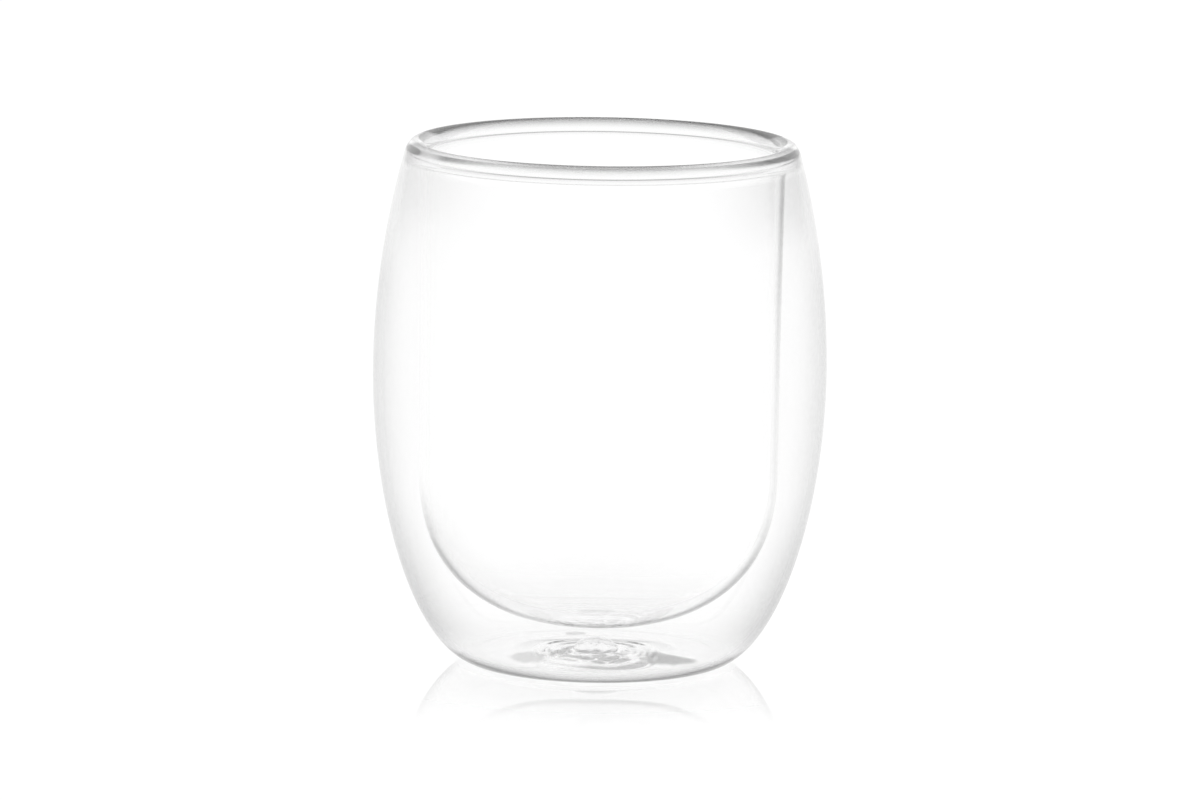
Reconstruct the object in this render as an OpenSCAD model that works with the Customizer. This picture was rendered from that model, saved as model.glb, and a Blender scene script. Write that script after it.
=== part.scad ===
// Double walled glass cup: a blown inner bowl hung inside a blown outer shell by a fused lip,
// with the vent in the shell's base closed by a melted bead. All of it is turned about +Z,
// and the foot stands at z = 0.

/* [Outer shell] */
// Height of the cup from the table to the top of the lip
cup_h = 93; // [82:0.5:106]
// Outer diameter at the belly, the widest place
belly_d = 80.4; // [66:0.2:96]
// Height of the belly above the table
belly_h = 52; // [42:0.5:62]
// Fullness of the curve from foot to belly: 2 is an ellipse, more is squarer
shell_fullness = 1.9; // [1.8:0.05:2.3]
// How far the shell draws in on each side from the belly to the height of the lip
mouth_in = 5.8; // [3:0.1:8]
// How far it draws in on each side from the belly to the flat ring that it stands on
foot_in = 18.9; // [14:0.1:22]
// Width of that ring
foot_ring_w = 3.6; // [2:0.1:6]
// Wall of the shell at the belly and the lip
shell_wall = 1.4; // [1:0.1:2]
// Thickness of the glass where the wall turns into the base
base_t = 1.4; // [1.3:0.1:2]

/* [Base] */
// Rise of the base's inner face from its edge to its middle
base_rise = 0.2; // [0.1:0.05:0.6]
// Thickness of the middle of the base, over the hollow that keeps the seal off the table
base_mid_t = 1; // [0.8:0.05:1]
// Diameter of the rings left in the base where it was closed on the lathe
ripple_d = 23; // [18:0.5:28]
// Height of one ring
ripple_h = 0.35; // [0.1:0.05:0.6]
// Number of rings
ripple_n = 3; // [2:1:5]

/* [Inner bowl] */
// Height of the bowl's rounded bottom
bowl_round_h = 28; // [22:0.5:34]
// Fullness of that rounding: 2 is an ellipse, more is squarer
bowl_fullness = 2.4; // [2:0.05:3]
// How far the bowl's side opens from its rounding to the lip
bowl_flare = 0.35; // [0.1:0.05:1]
// Wall of the bowl's side
bowl_wall = 1.4; // [1:0.1:2]
// Thickness of the middle of its bottom
bowl_bottom_t = 2; // [1.4:0.1:3]
// Air gap between the bowl's side and the shell just under the lip
neck_gap = 1.9; // [1.2:0.1:2.5]
// Air gap between the middle of the bowl's bottom and the sealed vent below it
bottom_gap = 2.7; // [1.2:0.1:4]

/* [Fused lip] */
// Height of the band of glass that was melted into the lip
lip_h = 4.2; // [3.4:0.1:5.5]
// Solid glass between the top of the lip and the air gap
lip_solid_h = 2.4; // [1.8:0.1:3]
// Height of the lip's rounded crown
crown_h = 2.2; // [1.6:0.1:3]

/* [Vent seal] */
// Diameter of the vent hole in the base
vent_d = 4.2; // [3:0.1:5]
// Diameter of the bead under the base
bead_d = 10; // [8:0.2:13]
// Clearance between that bead and the table
bead_clear = 0.2; // [0.1:0.05:0.3]
// Diameter of the pip inside the air gap
pip_d = 8; // [6:0.2:9.6]
// Height of the pip
pip_h = 2.6; // [1.5:0.1:3.4]

/* [Hidden] */
GLASS = [0.92, 0.95, 0.95, 0.35];
$fn = 180;

// Steps along a long curve, a short curve and one ring of the base
long_steps = 40;
short_steps = 16;
ring_steps = 12;
// A cubic curve whose middle points both rise by h tops out at this share of h
crown_share = 3 / 4;

belly_r = belly_d / 2;
foot_r = belly_r - foot_in;
punt_r = foot_r - foot_ring_w;
ripple_r = ripple_d / 2;
vent_r = vent_d / 2;
bead_r = bead_d / 2;
pip_r = pip_d / 2;

// Heights of the middle of the base's inner face, of the hollow under it, and of the bowl's
// lowest point
base_mid_z = base_t + base_rise;
punt_h = base_mid_z - base_mid_t;
bowl_z = base_mid_z + pip_h + bottom_gap;
// Where the bowl's rounding ends and its side begins
bowl_side_z = bowl_z + bowl_round_h;
// The band of the lip meets both walls at this height
weld_z = cup_h - lip_h;
gap_top_z = cup_h - lip_solid_h;
crown_z = cup_h - crown_h;

// Radius of the arc that the shell follows from belly to lip
shoulder_h = cup_h - belly_h;
shoulder_arc = (shoulder_h * shoulder_h + mouth_in * mouth_in) / (2 * mouth_in);

// Evenly spaced values from a to b, both included
function steps(a, b, n) = [for (i = [0:n]) a + (b - a) * i / n];

// The same, without the first one
function next_steps(a, b, n) = [for (i = [1:n]) a + (b - a) * i / n];

function unit(v) = v / norm(v);

// Falls smoothly from 1 to 0 as r goes from a to b, and stays there
function fade(r, a, b) = (1 + cos(180 * min(1, max(0, (r - a) / (b - a))))) / 2;

// A quarter of a superellipse of half width a and height b, hung from height z and starting at
// radius r: angle 0 is its side, 90 its bottom. t is how far inside the surface the point lies.
function quarter(r, z, a, b, fullness, angle, t) =
    let (
        across = pow(cos(angle), 2 / fullness),
        down = pow(sin(angle), 2 / fullness),
        outward = unit([pow(across, fullness - 1) / a, -pow(down, fullness - 1) / b])
    )
    [r + a * across, z - b * down] - t * outward;

// Glass thickens smoothly from the side of a shell to its bottom
function thickness(side, bottom, angle) = side + (bottom - side) * pow(sin(angle), 2);

// A point of the shell between foot and belly, t inside its outer face
function heel(angle, t) =
    quarter(foot_r, belly_h, belly_r - foot_r, belly_h, shell_fullness, angle, t);

// Radius of the shell above the belly, t inside its outer face
function shoulder_r(z, t) =
    belly_r - shoulder_arc + sqrt(pow(shoulder_arc - t, 2) - pow(z - belly_h, 2));

// How much the shell's radius shrinks for each millimetre that it rises
function shoulder_slope(z) =
    (z - belly_h) / sqrt(pow(shoulder_arc, 2) - pow(z - belly_h, 2));

// Radius of the bowl's side, which opens from its rounding towards the neck
neck_r = shoulder_r(weld_z, shell_wall) - neck_gap;
bowl_r = neck_r - bowl_flare;
function side_share(z) = (z - bowl_side_z) / (weld_z - bowl_side_z);
function bowl_side_r(z) = bowl_r + bowl_flare * pow(side_share(z), 2);
function bowl_slope(z) = 2 * bowl_flare * side_share(z) / (weld_z - bowl_side_z);

// A point of the bowl's rounded bottom, t inside its outer face
function bowl_round(angle, t) =
    quarter(0, bowl_side_z, bowl_r, bowl_round_h, bowl_fullness, angle, t);

// Rings of the base, between the vent seal and the smooth glass
function ripple(r) =
    let (share = (ripple_r - r) / (ripple_r - pip_r))
    share > 0 && share < 1 ? ripple_h * (1 - cos(360 * ripple_n * share)) / 2 : 0;

// Heights of the base's inner and outer faces at radius r, both flat where the vent seal sits
function base_top(r) = base_t + base_rise * fade(r, pip_r, foot_r) + ripple(r);
function base_under(r) = punt_h * fade(r, bead_r, punt_r);

// An arch from [r, z] on one wall to [r, z] on the other, leaving each along its own slope, as
// dr/dz, and topping out at height top
function arch(from, from_slope, to, to_slope, top) =
    let (
        rise = (top - from[1]) / crown_share,
        a = from + rise * [from_slope, 1],
        b = to + rise * [to_slope, 1]
    )
    [for (u = steps(0, 1, 2 * short_steps))
        pow(1 - u, 3) * from + 3 * pow(1 - u, 2) * u * a
            + 3 * (1 - u) * pow(u, 2) * b + pow(u, 3) * to];

module outer_shell() {
    outside = concat(
        [for (a = steps(90, 0, long_steps)) heel(a, 0)],
        [for (z = next_steps(belly_h, weld_z, long_steps)) [shoulder_r(z, 0), z]]
    );
    inside = concat(
        [for (z = steps(weld_z, belly_h, long_steps)) [shoulder_r(z, shell_wall), z]],
        [for (a = next_steps(0, 90, long_steps)) heel(a, thickness(shell_wall, base_t, a))]
    );
    top_face = [for (r = next_steps(foot_r, ripple_r, short_steps)) [r, base_top(r)]];
    rings = [for (r = next_steps(ripple_r, pip_r, ripple_n * ring_steps)) [r, base_top(r)]];
    vent = [[vent_r, base_mid_z], [vent_r, punt_h]];
    punt = [for (r = steps(bead_r, punt_r, short_steps)) [r, base_under(r)]];
    color(GLASS)
        rotate_extrude()
            polygon(concat(outside, inside, top_face, rings, vent, punt));
}

module inner_bowl() {
    outside = concat(
        [for (a = steps(90, 0, long_steps)) bowl_round(a, 0)],
        [for (z = next_steps(bowl_side_z, weld_z, long_steps)) [bowl_side_r(z), z]]
    );
    inside = concat(
        [for (z = steps(weld_z, bowl_side_z, long_steps)) [bowl_side_r(z) - bowl_wall, z]],
        [for (a = next_steps(0, 90, long_steps))
            bowl_round(a, thickness(bowl_wall, bowl_bottom_t, a))]
    );
    color(GLASS)
        rotate_extrude()
            polygon(concat(outside, inside));
}

module fused_lip() {
    outer_side = [for (z = steps(weld_z, crown_z, short_steps)) [shoulder_r(z, 0), z]];
    crown = arch(
        [shoulder_r(crown_z, 0), crown_z], -shoulder_slope(crown_z),
        [bowl_side_r(crown_z) - bowl_wall, crown_z], bowl_slope(crown_z),
        cup_h
    );
    inner_side = [for (z = steps(crown_z, weld_z, short_steps))
        [bowl_side_r(z) - bowl_wall, z]];
    gap = arch(
        [neck_r, weld_z], bowl_slope(weld_z),
        [shoulder_r(weld_z, shell_wall), weld_z], -shoulder_slope(weld_z),
        gap_top_z
    );
    color(GLASS)
        rotate_extrude()
            polygon(concat(outer_side, crown, inner_side, gap));
}

module vent_seal() {
    bead_h = punt_h - bead_clear;
    bead = [for (a = steps(0, 90, short_steps)) [bead_r * sin(a), punt_h - bead_h * cos(a)]];
    stem = [[vent_r, punt_h], [vent_r, base_mid_z]];
    pip = [for (a = steps(0, 90, short_steps)) [pip_r * cos(a), base_mid_z + pip_h * sin(a)]];
    color(GLASS)
        rotate_extrude()
            polygon(concat(bead, stem, pip));
}

outer_shell();
inner_bowl();
fused_lip();
vent_seal();
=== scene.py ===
"""A double walled glass cup on a white table: a bowl hung by its lip inside a barrel-shaped shell."""
import math
from types import SimpleNamespace

import bpy
from mathutils import Matrix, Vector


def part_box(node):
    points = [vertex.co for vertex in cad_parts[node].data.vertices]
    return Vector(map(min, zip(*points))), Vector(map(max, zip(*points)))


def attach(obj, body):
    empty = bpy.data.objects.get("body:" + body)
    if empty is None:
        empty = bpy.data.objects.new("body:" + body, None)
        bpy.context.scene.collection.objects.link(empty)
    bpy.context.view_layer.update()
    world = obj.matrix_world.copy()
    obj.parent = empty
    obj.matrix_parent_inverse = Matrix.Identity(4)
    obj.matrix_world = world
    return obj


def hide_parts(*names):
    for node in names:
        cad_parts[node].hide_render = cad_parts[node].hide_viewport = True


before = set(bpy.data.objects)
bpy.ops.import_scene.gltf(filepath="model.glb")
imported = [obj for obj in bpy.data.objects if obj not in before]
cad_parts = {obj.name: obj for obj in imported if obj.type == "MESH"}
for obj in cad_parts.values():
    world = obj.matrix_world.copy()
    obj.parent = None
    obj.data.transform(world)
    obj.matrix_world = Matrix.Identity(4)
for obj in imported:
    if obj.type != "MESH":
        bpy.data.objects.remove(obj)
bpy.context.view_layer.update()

# Outer shell
# The real piece is a bubble of clear borosilicate glass, blown into a barrel-shaped mould and turned
# on a lathe while a flame closes its base. The base keeps the rings of that closing round the vent,
# and the shell is melted to the lip at its top edge.

MM = 0.001
_, shell_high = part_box("outer_shell")
_, lip_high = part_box("fused_lip")
seal_low, seal_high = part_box("vent_seal")
cup_h = lip_high.z
weld_z = shell_high.z
belly_r = shell_high.x
bead_r = seal_high.x

belly_h = 52 * MM
shell_fullness = 1.9
mouth_in = 5.8 * MM
foot_in = 18.9 * MM
foot_ring_w = 3.6 * MM
shell_wall = 1.4 * MM
base_t = 1.4 * MM
base_mid_z = 1.6 * MM
punt_h = 0.6 * MM
ripple_r = 11.5 * MM
ripple_h = 0.16 * MM
ripple_n = 3
vent_r = 2.1 * MM
pip_r = 4 * MM
# Reach and centre of the closing's irregular marks, which lie in front of the vent
closing_r = 13 * MM
closing_x = 0.5 * MM
closing_y = -7.5 * MM

foot_r = belly_r - foot_in
punt_r = foot_r - foot_ring_w
shoulder_h = cup_h - belly_h
shoulder_arc = (shoulder_h ** 2 + mouth_in ** 2) / (2 * mouth_in)

# Angles along a quarter of a superellipse, and how many steps each stretch of the profile takes
SIDE = 0
BOTTOM = math.pi / 2
heel_steps = 60
shoulder_steps = 40
base_steps = 40
ring_steps = 16
punt_steps = 20


def steps(a, b, n):
    """n + 1 evenly spaced values from a to b."""
    return [a + (b - a) * i / n for i in range(n + 1)]


def fade(r, a, b):
    """Falls smoothly from 1 to 0 as r goes from a to b, and stays there."""
    share = min(1.0, max(0.0, (r - a) / (b - a)))
    return (1 + math.cos(math.pi * share)) / 2


def quarter(r, z, a, b, fullness, angle, inside):
    """A point of a superellipse that hangs from height z, moved inside along its normal."""
    across = math.cos(angle) ** (2 / fullness) if angle < BOTTOM else 0.0
    down = math.sin(angle) ** (2 / fullness)
    out_r = across ** (fullness - 1) / a
    out_z = -down ** (fullness - 1) / b
    size = math.hypot(out_r, out_z)
    return r + a * across - inside * out_r / size, z - b * down - inside * out_z / size


def thickness(side, bottom, angle):
    """Glass thickens smoothly from a shell's side to its bottom."""
    return side + (bottom - side) * math.sin(angle) ** 2


def heel(angle, inside):
    """A point of the shell between foot and belly."""
    return quarter(foot_r, belly_h, belly_r - foot_r, belly_h, shell_fullness, angle, inside)


def shoulder_r(z, inside):
    """Radius of the shell above the belly."""
    return belly_r - shoulder_arc + math.sqrt((shoulder_arc - inside) ** 2 - (z - belly_h) ** 2)


def shoulder_slope(z):
    """How much that radius shrinks for each metre that the shell rises."""
    return (z - belly_h) / math.sqrt(shoulder_arc ** 2 - (z - belly_h) ** 2)


def base_top(r):
    """Height of the base's inner face, with the rings of its closing."""
    share = (ripple_r - r) / (ripple_r - pip_r)
    ring = ripple_h * (1 - math.cos(2 * math.pi * ripple_n * share)) / 2 if 0 < share < 1 else 0.0
    return base_t + (base_mid_z - base_t) * fade(r, pip_r, foot_r) + ring


def base_under(r):
    """Height of its outer face, which is hollow inside the foot ring."""
    return punt_h * fade(r, bead_r, punt_r)


class Output:
    """A node's output, by default its first. Plain sums and comparisons with it become maths nodes."""

    def __init__(self, node, name=0):
        self.tree = node.id_data
        self.socket = node.outputs[name]

    def __add__(self, other):
        return maths("ADD", self, other)

    def __sub__(self, other):
        return maths("SUBTRACT", self, other)

    def __rsub__(self, other):
        return maths("SUBTRACT", other, self)

    def __mul__(self, other):
        return maths("MULTIPLY", self, other)

    def __truediv__(self, other):
        return maths("DIVIDE", self, other)

    def __rtruediv__(self, other):
        return maths("DIVIDE", other, self)

    def __gt__(self, other):
        return maths("GREATER_THAN", self, other)

    def __lt__(self, other):
        return maths("LESS_THAN", self, other)

    def __abs__(self):
        return maths("ABSOLUTE", self)


def give(socket, value):
    """Set an input to a plain value or link it to an output, where a node stands for its first one."""
    if isinstance(value, bpy.types.Node):
        value = Output(value)
    if isinstance(value, Output):
        value.tree.links.new(value.socket, socket)
    else:
        socket.default_value = value


def add(tree, kind, **values):
    """A node of that kind. Each value goes to its property of that name, or else to its input."""
    node = tree.nodes.new(kind)
    for name, value in values.items():
        if hasattr(node, name):
            setattr(node, name, value)
        else:
            give(node.inputs[name.replace("_", " ")], value)
    return node


def maths(operation, *values):
    """The result of a maths node on outputs and plain numbers."""
    tree = next(value.tree for value in values if isinstance(value, Output))
    node = add(tree, "ShaderNodeMath", operation=operation)
    for socket, value in zip(node.inputs, values):
        give(socket, value)
    return Output(node)


def larger(a, b):
    return maths("MAXIMUM", a, b)


def smaller(a, b):
    return maths("MINIMUM", a, b)


def length(x, y):
    return maths("SQRT", x * x + y * y)


def ramp(value, start, end, low=0.0, high=1.0):
    """Goes smoothly from low where value is start to high where it is end."""
    return Output(add(value.tree, "ShaderNodeMapRange", interpolation_type="SMOOTHSTEP", Value=value,
                      From_Min=start, From_Max=end, To_Min=low, To_Max=high))


def vector_maths(operation, a, b, result="Vector"):
    """The result of a node on two vectors."""
    node = add(a.tree, "ShaderNodeVectorMath", operation=operation)
    give(node.inputs[0], a)
    give(node.inputs[1], b)
    return Output(node, result)


def split(vector):
    """The x, y and z of a vector."""
    node = add(vector.tree, "ShaderNodeSeparateXYZ", Vector=vector)
    return SimpleNamespace(x=Output(node, "X"), y=Output(node, "Y"), z=Output(node, "Z"))


def node_group(name, tree_kind, inputs, output, output_kind):
    """A node group with one output. inputs names each input with its kind of socket or its plain number.
    Gives the tree, what it is given, and the socket that its result goes to."""
    number_kinds = {int: "Int", float: "Float"}
    tree = bpy.data.node_groups.new(name, tree_kind)
    for label, value in inputs.items():
        kind = number_kinds.get(type(value), value)
        socket = tree.interface.new_socket(label, in_out="INPUT", socket_type="NodeSocket" + kind)
        if type(value) in number_kinds:
            socket.default_value = value
    tree.interface.new_socket(output, in_out="OUTPUT", socket_type="NodeSocket" + output_kind)
    source = add(tree, "NodeGroupInput")
    given = {label: Output(source, label) for label in inputs}
    return tree, given, add(tree, "NodeGroupOutput").inputs[0]


def lathe_tree():
    """Geometry Nodes that turn a profile about Z, as rings of its points welded at the seam and the poles.
    The stretches that the profile marks as melted get the contact's material."""
    tree, given, made = node_group("glass_lathe", "GeometryNodeTree", {
        "Profile": "Geometry", "Segments": 256, "Weld Distance": 0.002 * MM,
        "Crease Angle": math.radians(30), "Glass": "Material", "Contact": "Material",
    }, "Turned", "Geometry")
    profile = given["Profile"]
    around = given["Segments"] + 1
    count = add(tree, "GeometryNodeAttributeDomainSize", component="MESH", Geometry=profile)
    grid = add(tree, "GeometryNodeMeshGrid", Vertices_X=Output(count, "Point Count"), Vertices_Y=around)

    index = Output(add(tree, "GeometryNodeInputIndex"))
    ring = maths("FLOOR", (index + 0.5) / around)
    angle = (index - ring * around) * (2 * math.pi / given["Segments"])
    position = add(tree, "GeometryNodeInputPosition")
    point = split(Output(add(tree, "GeometryNodeSampleIndex", data_type="FLOAT_VECTOR", domain="POINT",
                             Geometry=profile, Value=position, Index=ring)))
    place = add(tree, "ShaderNodeCombineXYZ", X=point.x * maths("COSINE", angle),
                Y=point.x * maths("SINE", angle), Z=point.z)
    turned = add(tree, "GeometryNodeSetPosition", Geometry=grid, Position=place)

    attribute = add(tree, "GeometryNodeInputNamedAttribute", data_type="FLOAT", Name="melted")
    melted = Output(attribute, "Attribute")
    stretch = maths("FLOOR", (index + 0.5) / given["Segments"])
    of_stretch = add(tree, "GeometryNodeSampleIndex", data_type="FLOAT", domain="POINT", Geometry=profile,
                     Value=melted, Index=stretch)
    marked = add(tree, "GeometryNodeStoreNamedAttribute", data_type="FLOAT", domain="FACE", Name="melted",
                 Geometry=turned, Value=of_stretch)

    outward = add(tree, "GeometryNodeFlipFaces", Mesh=marked)
    welded = add(tree, "GeometryNodeMergeByDistance", Geometry=outward, Distance=given["Weld Distance"])
    smooth = add(tree, "GeometryNodeSetShadeSmooth", domain="FACE", Geometry=welded)
    bend = Output(add(tree, "GeometryNodeInputMeshEdgeAngle"), "Unsigned Angle")
    sharp = add(tree, "GeometryNodeSetShadeSmooth", domain="EDGE", Geometry=smooth,
                Selection=bend > given["Crease Angle"], Shade_Smooth=False)
    real = add(tree, "GeometryNodeRealizeInstances", Geometry=sharp)
    glass = add(tree, "GeometryNodeSetMaterial", Geometry=real, Material=given["Glass"])
    give(made, add(tree, "GeometryNodeSetMaterial", Geometry=glass, Selection=melted > 0.5,
                   Material=given["Contact"]))
    return tree


# A noise stays close to its mean, so its swing is taken this many times
NOISE_GAIN = 4.0


def closing_tree():
    """Geometry Nodes that roughen a base's turned rings into the broken arcs of a flame closing. Points
    within Radius of the centre move up or down by a noise that runs round it in long streaks, but those
    within Seat of the axis, below Low or above High stay."""
    full_share = 0.7
    seat_share = 1.25
    tree, given, made = node_group("closing_marks", "GeometryNodeTree", {
        "Turned": "Geometry", "Centre X": 0.0, "Centre Y": 0.0, "Radius": closing_r, "Rise": 0.45 * MM,
        "Streak": 2.6 * MM, "Turns": 0.8, "Seed": 3.0, "Low": 1 * MM, "High": 3 * MM, "Seat": 4.3 * MM,
    }, "Marked", "Geometry")
    at = split(Output(add(tree, "GeometryNodeInputPosition")))
    dx = at.x - given["Centre X"]
    dy = at.y - given["Centre Y"]
    radius = larger(length(dx, dy), 0.1 * MM)
    streak = add(tree, "ShaderNodeCombineXYZ", X=dx / radius * given["Turns"], Y=dy / radius * given["Turns"],
                 Z=radius / given["Streak"])
    noise = add(tree, "ShaderNodeTexNoise", noise_dimensions="4D", Vector=streak, W=given["Seed"], Scale=1.0,
                Detail=0.0)
    closed = ramp(radius, given["Radius"], given["Radius"] * full_share)
    off_seat = ramp(length(at.x, at.y), given["Seat"], given["Seat"] * seat_share)
    wander = (Output(noise) - 0.5) * closed * off_seat
    up = add(tree, "ShaderNodeCombineXYZ", Z=wander * (given["Rise"] * NOISE_GAIN))
    give(made, add(tree, "GeometryNodeSetPosition", Geometry=given["Turned"], Offset=up,
                   Selection=(at.z > given["Low"]) * (at.z < given["High"])))
    return tree


LATHE = lathe_tree()
CLOSING = closing_tree()


def modify(piece, tree, **values):
    """Put a node tree on a piece and set those of its inputs that values names."""
    modifier = piece.modifiers.new(tree.name, "NODES")
    modifier.node_group = tree
    for item in tree.interface.items_tree:
        name = item.name.replace(" ", "_")
        if name in values:
            modifier[item.identifier] = values[name]


def turned_piece(name, profile, glass, melted, marks=None, **values):
    """A closed glass solid turned from a profile of (radius, height). melted holds the numbers of the
    profile's stretches that another piece is melted to, and marks a tree that shapes it further."""
    line = bpy.data.meshes.new(name + "_profile")
    line.from_pydata([(r, 0, z) for r, z in profile], [(i, i + 1) for i in range(len(profile) - 1)], [])
    attribute = line.attributes.new("melted", "FLOAT", "POINT")
    for i in melted:
        attribute.data[i].value = 1.0
    piece = bpy.data.objects.new(name, line)
    bpy.context.collection.objects.link(piece)
    modify(piece, LATHE, Glass=glass, Contact=MELTED)
    if marks:
        modify(piece, marks, **values)
    shown = piece.evaluated_get(bpy.context.evaluated_depsgraph_get())
    piece.data = bpy.data.meshes.new_from_object(shown)
    piece.modifiers.clear()
    piece.data.name = name
    return piece


def edge_grey_group():
    """Base colour of clear glass that greys where it is seen edge on: by Depth from Start to End and, more
    broadly, by Soft Depth from Soft Start on. Both hold Where that is 1, and Added holds everywhere."""
    # The grey is painted shade: it stands in for the darker surroundings that the glass bends and mirrors
    # into view at its edges.
    darkest = 0.03
    names = ("Facing", "Start", "End", "Depth", "Soft Start", "Soft Depth", "Where", "Added")
    tree, given, made = node_group("edge_grey", "ShaderNodeTree", dict.fromkeys(names, 0.0), "Color", "Color")
    line = ramp(given["Facing"], given["Start"], given["End"]) * given["Depth"]
    band = ramp(given["Facing"], given["Soft Start"], 1.0) * given["Soft Depth"]
    grey = (line + band) * given["Where"] + given["Added"]
    left = larger(1.0 - grey, darkest)
    give(made, add(tree, "ShaderNodeCombineColor", Red=left, Green=left, Blue=left))
    return tree


def outer_face_group():
    """1 on the faces that look away from the point (0, 0, Centre), 0 on the ones that look towards it."""
    inputs = {"Place": "Vector", "Normal": "Vector", "Centre": 0.0}
    tree, given, made = node_group("outer_face", "ShaderNodeTree", inputs, "Outer", "Float")
    centre = add(tree, "ShaderNodeCombineXYZ", Z=given["Centre"])
    away = vector_maths("SUBTRACT", given["Place"], centre)
    give(made, vector_maths("DOT_PRODUCT", away, given["Normal"], "Value") > 0.0)
    return tree


EDGE_GREY = edge_grey_group()
OUTER_FACE = outer_face_group()


def blank_material(name):
    """A material with nothing but its output, its tree, and the socket that its surface goes to."""
    mat = bpy.data.materials.new(name)
    mat.use_nodes = True
    mat.node_tree.nodes.clear()
    out = add(mat.node_tree, "ShaderNodeOutputMaterial")
    return mat, mat.node_tree, out.inputs["Surface"]


def mixed(share, first, second):
    """The first shader where share is 0, the second where it is 1."""
    mix = add(share.tree, "ShaderNodeMixShader", Fac=share)
    give(mix.inputs[1], first)
    give(mix.inputs[2], second)
    return mix


def clear_glass(name, edges, waviness=0.01 * MM, wave_size=16 * MM):
    """Clear glass with the faint waves that blowing leaves. edges(at, face) gives the inputs of its edge
    grey, a painted shade, from a point's place and what is known of the face there: whether it is an outer
    one, how far it looks up, and whether it is seen from inside the glass, in the table's mirror, or
    directly, which is past no more than one other wall. Shadows and rays far down a path pass straight
    through."""
    glass_ior = 1.47
    direct_depth = 3.5
    deepest = 9.5
    mat, tree, surface = blank_material(name)
    coordinates = add(tree, "ShaderNodeTexCoord")
    place = Output(coordinates, "Object")
    normal = Output(coordinates, "Normal")
    path = add(tree, "ShaderNodeLightPath")
    depth = Output(path, "Ray Depth")
    inside = Output(add(tree, "ShaderNodeNewGeometry"), "Backfacing")
    outer = add(tree, "ShaderNodeGroup", node_tree=OUTER_FACE, Place=place, Normal=normal, Centre=belly_h)
    face = SimpleNamespace(outer=Output(outer), up=split(normal).z, inside=inside,
                           mirrored=Output(path, "Is Reflection Ray") * (1.0 - inside),
                           directly=depth < direct_depth)
    lean = add(tree, "ShaderNodeLayerWeight", Blend=0.5)
    grey = add(tree, "ShaderNodeGroup", node_tree=EDGE_GREY, Facing=Output(lean, "Facing"),
               **edges(split(place), face))

    wave = add(tree, "ShaderNodeTexNoise", Vector=place, Scale=1 / wave_size, Detail=2.0)
    bump = add(tree, "ShaderNodeBump", Strength=1.0, Distance=waviness, Height=wave)
    body = add(tree, "ShaderNodeBsdfPrincipled", Base_Color=grey, Roughness=0.0, IOR=glass_ior, Metallic=0.0,
               Transmission_Weight=1.0, Normal=bump)
    through = add(tree, "ShaderNodeBsdfTransparent", Color=grey)
    passing = larger(Output(path, "Is Shadow Ray"), Output(path, "Is Diffuse Ray"))
    give(surface, mixed(larger(passing, depth > deepest), body, through))
    return mat


def melted_face():
    """Where two pieces are melted together there is no face to see, so light passes straight through."""
    mat, tree, surface = blank_material("melted_together")
    give(surface, add(tree, "ShaderNodeBsdfTransparent"))
    return mat


MELTED = melted_face()


def spot(at, x, y, half_x, half_y, ragged=0.0):
    """1 inside an ellipse round (x, y), fading to 0 at its edge, which wanders by ragged times its size."""
    grain = 2.2 * MM
    squeeze = 0.4
    away = length((at.x - x) / half_x, (at.y - y) / half_y)
    if ragged:
        place = add(at.x.tree, "ShaderNodeCombineXYZ", X=at.x, Y=at.y * squeeze)
        noise = add(at.x.tree, "ShaderNodeTexNoise", Vector=place, Scale=1 / grain, Detail=2.0)
        away = away + (Output(noise) - 0.5) * (NOISE_GAIN * ragged)
    return ramp(away, 0.75, 1.05, 1.0, 0.0)


def closing_marks(at, face):
    """Grey on the base's inner face near the closing: painted shade on the slopes of its streaks, standing in
    for the dark surroundings that they bend into view, in a patch with a straight upper edge on the right and
    in a small one on the left, and a dark dash behind."""
    edge_slope = 0.93
    inner_face = (face.up > 0.0) * (at.z < 4 * MM)
    slopes = ramp(face.up, 0.960, 0.999, 0.65, 0.0) * spot(at, closing_x, -6.5 * MM, closing_r, 14 * MM)
    below_edge = ramp(at.y + at.x * edge_slope, 8.4 * MM, 9.8 * MM, 0.72, 0.0)
    right = spot(at, 13.2 * MM, -6 * MM, 5.4 * MM, 6 * MM, 0.15) * below_edge
    left = spot(at, -11.9 * MM, -7 * MM, 3.6 * MM, 4.6 * MM, 0.35) * 0.38
    dash = spot(at, -3.7 * MM, 16.5 * MM, 2 * MM, 1.9 * MM, 0.3) * 0.45
    return larger(larger(slopes, right), larger(left, dash)) * inner_face * face.directly


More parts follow.
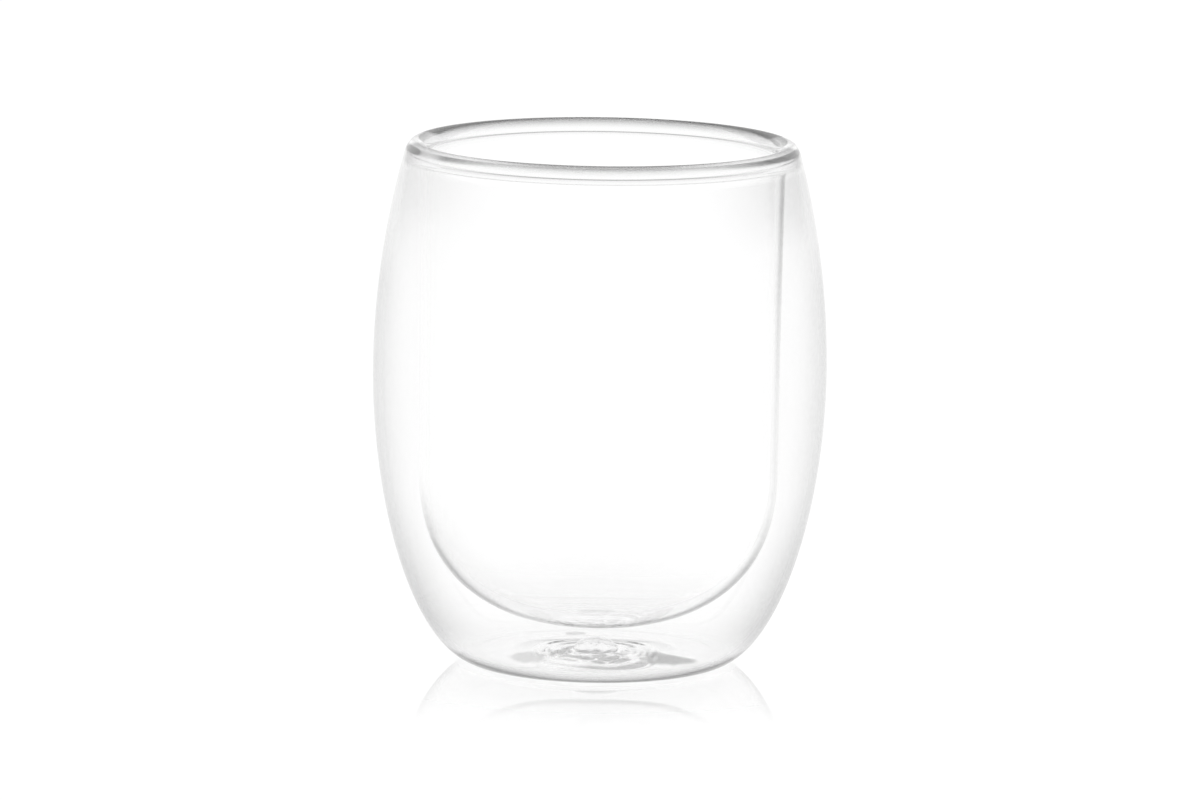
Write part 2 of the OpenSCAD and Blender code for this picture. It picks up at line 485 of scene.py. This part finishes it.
def shell_edges(at, face):
    """Painted shade, standing in for the dark surroundings that the glass bends into view: grey towards the
    outline, in a broad band that is darker at the heel and wider below the lip, and in a line that is dark at
    the foot, where it is also a painted contact shadow. Neither is under the base, which is only seen through
    the glass. In the table's mirror the whole side is a little grey and the line is thinner."""
    mirrored = face.mirrored
    side = face.outer * (length(at.x, at.y) > foot_r - 0.5 * MM)
    side = side * (1.0 - mirrored * ramp(at.z, 4 * MM, 16 * MM, 0.45, 0.0))

    below_lip = ramp(at.z, 74 * MM, 90 * MM, 0.44, 0.15)
    above_heel = ramp(at.z, 10 * MM, 35 * MM, 0.25, 0.44)
    at_foot = ramp(at.z, 2 * MM, 10 * MM, 0.65, 0.25)
    band_start = larger(smaller(below_lip, above_heel), at_foot)
    band_depth = ramp(at.z, 6 * MM, 45 * MM, 0.80, 0.66) * ramp(at.z, 66 * MM, 85 * MM, 1.0, 0.5)

    line_start = ramp(at.z, 4 * MM, 50 * MM, 0.36, 0.05) + mirrored * 0.33
    line_end = ramp(at.z, 4 * MM, 50 * MM, 0.80, 0.45) + mirrored * 0.15
    # Painted shade: the line below the lip is darker on the right, as the light falls from the left
    shoulder = ramp(at.z, 66 * MM, 88 * MM, 0.0, 0.2) * ramp(at.x, -30 * MM, 30 * MM, 0.7, 1.0)
    # Painted contact shadow: the line is dark at the foot, where the glass meets the table
    foot = ramp(at.z, 1.2 * MM, 4.5 * MM, 0.95, 0.1)
    line_depth = larger(larger(shoulder, mirrored * 0.6), foot)

    # Painted shade: a soft grey below the lip, lighter in the middle, and a grey over the side seen in the
    # table's mirror
    shade_below_lip = ramp(at.z, 70 * MM, 88 * MM, 0.0, 0.04) * ramp(abs(at.x), 0.0, 30 * MM, 0.4, 1.0)
    added = closing_marks(at, face) + mirrored * side * 0.28 + shade_below_lip * side
    return dict(Start=line_start, End=line_end, Depth=line_depth, Soft_Start=band_start,
                Soft_Depth=band_depth, Where=side, Added=added)


outside = [heel(a, 0) for a in steps(BOTTOM, SIDE, heel_steps)]
outside += [(shoulder_r(z, 0), z) for z in steps(belly_h, weld_z, shoulder_steps)[1:]]
inside = [(shoulder_r(z, shell_wall), z) for z in steps(weld_z, belly_h, shoulder_steps)]
inside += [heel(a, thickness(shell_wall, base_t, a)) for a in steps(SIDE, BOTTOM, heel_steps)[1:]]
base = [(r, base_top(r)) for r in steps(foot_r, ripple_r, base_steps)[1:]]
base += [(r, base_top(r)) for r in steps(ripple_r, pip_r, ripple_n * ring_steps)[1:]]
vent = [(vent_r, base_mid_z), (vent_r, punt_h)]
punt = [(r, base_under(r)) for r in steps(bead_r, punt_r, punt_steps)]
at_lip = len(outside) - 1
at_vent = len(outside + inside + base) - 1

shell = turned_piece("outer_shell_glass", outside + inside + base + vent + punt + outside[:1],
                     clear_glass("shell_glass", shell_edges), (at_lip, at_vent, at_vent + 1, at_vent + 2),
                     CLOSING, Centre_X=closing_x, Centre_Y=closing_y, Low=base_mid_z - 0.3 * MM,
                     High=base_mid_z + 1 * MM, Seat=pip_r + 0.2 * MM)
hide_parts("outer_shell")
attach(shell, "root")

# Inner bowl
# The real piece is a second blown bubble, straight in the side and round in the bottom, which hangs in
# the shell from the lip alone. Its wall is as thin as the shell's and a little thicker underneath.

bowl_low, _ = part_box("inner_bowl")
bowl_z = bowl_low.z
bowl_round_h = 28 * MM
bowl_fullness = 2.4
bowl_flare = 0.35 * MM
bowl_wall = 1.4 * MM
bowl_bottom_t = 2 * MM
neck_gap = 1.9 * MM
bowl_side_z = bowl_z + bowl_round_h
neck_r = shoulder_r(weld_z, shell_wall) - neck_gap
bowl_r = neck_r - bowl_flare
round_steps = 70
side_steps = 30


def bowl_side_r(z):
    """Radius of the bowl's side, which opens from its rounding to the lip."""
    return bowl_r + bowl_flare * ((z - bowl_side_z) / (weld_z - bowl_side_z)) ** 2


def bowl_slope(z):
    """How much that radius grows for each metre that the side rises."""
    return 2 * bowl_flare * (z - bowl_side_z) / (weld_z - bowl_side_z) ** 2


def bowl_round(angle, inside):
    """A point of the bowl's rounded bottom."""
    return quarter(0, bowl_side_z, bowl_r, bowl_round_h, bowl_fullness, angle, inside)


def bowl_edges(at, face):
    """Painted shade: a thin dark outline on the rounding, and above it on the right side only, as the light
    falls from the left. A soft painted grey lies inside it at the lower left, and a faint one on the very
    bottom."""
    upper = ramp(at.x, -5 * MM, 25 * MM) * ramp(at.z, 40 * MM, 85 * MM, 0.35, 0.95)
    lower = ramp(at.x, -10 * MM, 20 * MM, 0.75, 0.97) * ramp(at.z, 18 * MM, 36 * MM, 1.0, 0.0)
    start = larger(ramp(at.z, 10.5 * MM, 19 * MM, 0.75, 0.65), ramp(at.z, 20 * MM, 50 * MM, 0.64, 0.70))
    lower_left = ramp(at.x, -27 * MM, -8 * MM, 0.36, 0.0) * ramp(at.z, 20 * MM, 36 * MM, 1.0, 0.0)
    bottom = face.outer * ramp(at.z, 8 * MM, 18 * MM, 0.1, 0.0)
    return dict(Start=start, End=0.84, Depth=larger(upper, lower), Soft_Start=0.1, Soft_Depth=lower_left,
                Where=face.outer, Added=bottom)


bowl_outside = [bowl_round(a, 0) for a in steps(BOTTOM, SIDE, round_steps)]
bowl_outside += [(bowl_side_r(z), z) for z in steps(bowl_side_z, weld_z, side_steps)[1:]]
bowl_inside = [(bowl_side_r(z) - bowl_wall, z) for z in steps(weld_z, bowl_side_z, side_steps)]
bowl_inside += [bowl_round(a, thickness(bowl_wall, bowl_bottom_t, a))
                for a in steps(SIDE, BOTTOM, round_steps)[1:]]
bowl = turned_piece("inner_bowl_glass", bowl_outside + bowl_inside, clear_glass("bowl_glass", bowl_edges),
                    (len(bowl_outside) - 1,))
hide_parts("inner_bowl")
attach(bowl, "root")

# Fused lip
# The real piece is the band of glass at the mouth where a flame melted the edges of the shell and the
# bowl into one, and its pull rounded the top, with the crest nearer to the shell.

lip_solid_h = 2.4 * MM
crown_h = 2.2 * MM
crown_lean = 0.45
crown_z = cup_h - crown_h
gap_top_z = cup_h - lip_solid_h
gap_mid_r = neck_r + neck_gap / 2
lip_side_steps = 8
crown_steps = 48
gap_steps = 32


def arch(start, start_slope, end, end_slope, top, n, lean=0.0):
    """An arch between two walls that leaves each along its own slope and tops out at height top. lean moves
    its crest towards the start."""
    def rise(u):
        return 3 * (1 - u) * u * ((1 - u) * (1 + lean) + u * (1 - lean))

    full = (top - start[1]) / max(rise(u) for u in steps(0, 1, n))
    first, last = full * (1 + lean), full * (1 - lean)
    a = start[0] + first * start_slope, start[1] + first
    b = end[0] + last * end_slope, end[1] + last
    points = []
    for u in steps(0, 1, n):
        weights = (1 - u) ** 3, 3 * (1 - u) ** 2 * u, 3 * (1 - u) * u ** 2, u ** 3
        points.append(tuple(sum(w * p[k] for w, p in zip(weights, (start, a, b, end))) for k in (0, 1)))
    return points


def slope_line(at, radius):
    """A painted dark line of shade along the crown's outer slope. Towards both ends it lies lower and is
    darker, and on the left it has a short pale gap."""
    across = abs(at.x)
    drop = ramp(across, 8 * MM, 33 * MM, 0.15 * MM, 0.9 * MM)
    line = ramp(abs(cup_h - at.z - drop), 0.15 * MM, 0.75 * MM, 1.0, 0.0)
    pale = larger(ramp(at.x, -33 * MM, -31.5 * MM, 1.0, 0.45), ramp(at.x, -30.5 * MM, -27 * MM, 0.45, 1.0))
    return line * ramp(across, 12 * MM, 30 * MM, 0.1, 0.7) * pale * (radius > gap_mid_r + 0.9 * MM)


def lip_edges(at, face):
    """Painted shade, standing in for the dark surroundings that the glass bends into view: dark where the
    crown is seen edge on, less so at the mouth's two ends, with a painted line along the near side's outer
    slope.
    The solid glass is a little grey and the gap's faces are clear. Towards the weld, the outside takes on the
    shell's painted grey."""
    hair = 0.05 * MM
    radius = length(at.x, at.y)
    across = abs(at.x)
    aside = abs(at.y - 3 * MM)
    near = ramp(at.y, -4 * MM, 4 * MM, 1.0, 0.0)
    near_end = near * ramp(across, 8 * MM, 26 * MM)
    like_shell = ramp(at.z, weld_z, weld_z + 1.8 * MM, 1.0, 0.0) * (radius > gap_mid_r)

    off_gap = larger(abs(radius - gap_mid_r) > neck_gap / 2 + hair, at.z > gap_top_z + hair)
    inner_end = (radius < neck_r - bowl_wall / 2) * ramp(across, 20 * MM, 30 * MM, 0.0, 0.7)
    depth = ramp(like_shell, 0.0, 1.0, 0.77, 0.2) * ramp(aside, 5 * MM, 10 * MM, 0.55, 1.0)
    depth = depth * (1.0 - near_end * 0.35)
    soft_depth = larger(ramp(like_shell, 0.0, 1.0, 0.1, 0.33), ramp(aside, 5 * MM, 10 * MM, 0.0, 0.25))

    # Painted shade: the crown's top greys, less so at the near side's ends and where seen from inside the
    # glass
    top = ramp(at.z, cup_h - 1.6 * MM, cup_h - 0.1 * MM, 0.0, 0.65)
    top = top * (ramp(aside, 5 * MM, 10 * MM, 0.1, 1.0) - near_end * 0.8) * (1.0 - face.inside * 0.6)
    solid = ramp(at.z, gap_top_z - 0.3 * MM, gap_top_z + 0.2 * MM, 0.0, 0.08)
    return dict(Start=ramp(like_shell, 0.0, 1.0, 0.45, 0.05), End=ramp(like_shell, 0.0, 1.0, 0.9, 0.45),
                Depth=depth, Soft_Start=ramp(like_shell, 0.0, 1.0, 0.05, 0.15), Soft_Depth=soft_depth,
                Where=off_gap * (1.0 - inner_end), Added=top + solid + slope_line(at, radius) * near)


outer_side = [(shoulder_r(z, 0), z) for z in steps(weld_z, crown_z, lip_side_steps)[:-1]]
crown = arch((shoulder_r(crown_z, 0), crown_z), -shoulder_slope(crown_z),
             (bowl_side_r(crown_z) - bowl_wall, crown_z), bowl_slope(crown_z), cup_h, crown_steps, crown_lean)
inner_side = [(bowl_side_r(z) - bowl_wall, z) for z in steps(crown_z, weld_z, lip_side_steps)[1:]]
gap = arch((neck_r, weld_z), bowl_slope(weld_z),
           (shoulder_r(weld_z, shell_wall), weld_z), -shoulder_slope(weld_z), gap_top_z, gap_steps)
at_bowl = len(outer_side + crown + inner_side) - 1
lip = turned_piece("fused_lip_glass", outer_side + crown + inner_side + gap + outer_side[:1],
                   clear_glass("lip_glass", lip_edges), (at_bowl, at_bowl + len(gap)))
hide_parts("fused_lip")
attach(lip, "root")

# Vent seal
# The real piece is a bead of glass melted into the vent after the air gap was evened out. It stands
# under the base as a low lens and inside the gap as a small pip.

bead_h = punt_h - seal_low.z
pip_h = seal_high.z - base_mid_z
seal_steps = 24


def seal_edges(at, face):
    """A little painted shade all round where it is seen edge on, standing in for the dark surroundings that
    the glass bends into view.
    """
    return dict(Soft_Start=0.3, Soft_Depth=0.3, Where=1.0)


bead = [(bead_r * math.sin(a), punt_h - bead_h * math.cos(a)) for a in steps(0, math.pi / 2, seal_steps)]
stem = [(vent_r, punt_h), (vent_r, base_mid_z)]
pip = [(pip_r * math.cos(a), base_mid_z + pip_h * math.sin(a)) for a in steps(0, math.pi / 2, seal_steps)]
at_stem = len(bead) - 1
seal = turned_piece("vent_seal_glass", bead + stem + pip,
                    clear_glass("seal_glass", seal_edges, waviness=0.1 * MM, wave_size=2 * MM),
                    (at_stem, at_stem + 1, at_stem + 2))
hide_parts("vent_seal")
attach(seal, "root")

# Table, light and camera
# The cup stands on a white glossy table in front of nothing, lit evenly from all round. The table shows
# # as white with a painted shadow in its glow, a little grey under the foot and pale under the base's middle,
# # and mirrors the cup less and less away from it.

table_half = 4.0
table_z = -0.05 * MM
corners = [(x * table_half, y * table_half, table_z) for x, y in ((-1, -1), (1, -1), (1, 1), (-1, 1))]
table_mesh = bpy.data.meshes.new("table_top")
table_mesh.from_pydata(corners, [], [(0, 1, 2, 3)])
table = bpy.data.objects.new("table_top", table_mesh)
bpy.context.collection.objects.link(table)


def white_table():
    """A white that shows as white itself, with a painted shadow in its glow under the cup that is pale again
    under the base's middle, and takes a soft shadow, under a mirror that fades outwards.
    """
    mat, tree, surface = blank_material("white_table")
    path = add(tree, "ShaderNodeLightPath")
    seen = larger(Output(path, "Is Transmission Ray"), Output(path, "Is Glossy Ray"))
    seen = larger(Output(path, "Is Camera Ray"), seen)
    place = Output(add(tree, "ShaderNodeTexCoord"), "Object")
    radius = Output(add(tree, "ShaderNodeVectorMath", operation="LENGTH", Vector=place), "Value")
    # Painted shadow: the glow is dimmer under the cup than beyond its foot, and bright again under the base's
    # middle
    glow_with_painted_shadow = larger(ramp(radius, 6 * MM, 12 * MM, 0.97, 0.0), ramp(radius, 20.5 * MM, 22.5 * MM, 0.86, 0.90))
    shine = ramp(radius, 22 * MM, 74 * MM, 0.65, 0.0) * ramp(radius, 22.5 * MM, 30 * MM, 0.25, 1.0)
    white = add(tree, "ShaderNodeAddShader")
    give(white.inputs[0], add(tree, "ShaderNodeBsdfDiffuse", Color=(0.15, 0.15, 0.15, 1)))
    give(white.inputs[1], add(tree, "ShaderNodeEmission", Color=(1, 1, 1, 1), Strength=seen * glow_with_painted_shadow))
    mirror = add(tree, "ShaderNodeBsdfGlossy", Color=(1, 1, 1, 1), Roughness=0.03)
    give(surface, mixed(shine, white, mirror))
    return mat


table_mesh.materials.append(white_table())


def studio_world():
    """White to the camera, and darker overhead to what the glass bends or mirrors into view."""
    world = bpy.data.worlds.new("studio")
    world.use_nodes = True
    tree = world.node_tree
    tree.nodes.clear()
    direction = split(Output(add(tree, "ShaderNodeTexCoord"), "Generated"))
    path = add(tree, "ShaderNodeLightPath")
    bent = larger(Output(path, "Is Transmission Ray"), Output(path, "Is Glossy Ray"))
    overhead = ramp(direction.z, 0.5, 0.95, 1.0, 0.62)
    level = add(tree, "ShaderNodeMix", data_type="FLOAT", Factor=bent, A=1.0, B=overhead)
    sky = add(tree, "ShaderNodeBackground", Color=(1, 1, 1, 1), Strength=level)
    add(tree, "ShaderNodeOutputWorld", Surface=sky)
    return world


bpy.context.scene.world = studio_world()

# The camera was fitted to the cup's outline in the photograph
focal_px = 8580.0
image_w_px = 1200.0
pitch = math.radians(9.24)
roll = math.radians(0.828)
camera_data = bpy.data.cameras.new("camera")
camera_data.sensor_width = 36.0
camera_data.lens = focal_px / image_w_px * camera_data.sensor_width
camera_data.clip_start = 0.01
camera_data.clip_end = 100.0
camera = bpy.data.objects.new("camera", camera_data)
bpy.context.collection.objects.link(camera)
camera.location = (0.104 * MM, -1500 * MM, 290.8 * MM)
camera.rotation_mode = "QUATERNION"
turn = Matrix.Rotation(math.pi / 2 - pitch, 3, "X") @ Matrix.Rotation(roll, 3, "Z")
camera.rotation_quaternion = turn.to_quaternion()
bpy.context.scene.camera = camera
bpy.context.scene.view_settings.view_transform = "Standard"

bounces = 24
cycles = bpy.context.scene.cycles
cycles.max_bounces = bounces
cycles.transmission_bounces = bounces
cycles.glossy_bounces = bounces
cycles.transparent_max_bounces = bounces
cycles.diffuse_bounces = 1
cycles.caustics_reflective = False
cycles.caustics_refractive = False
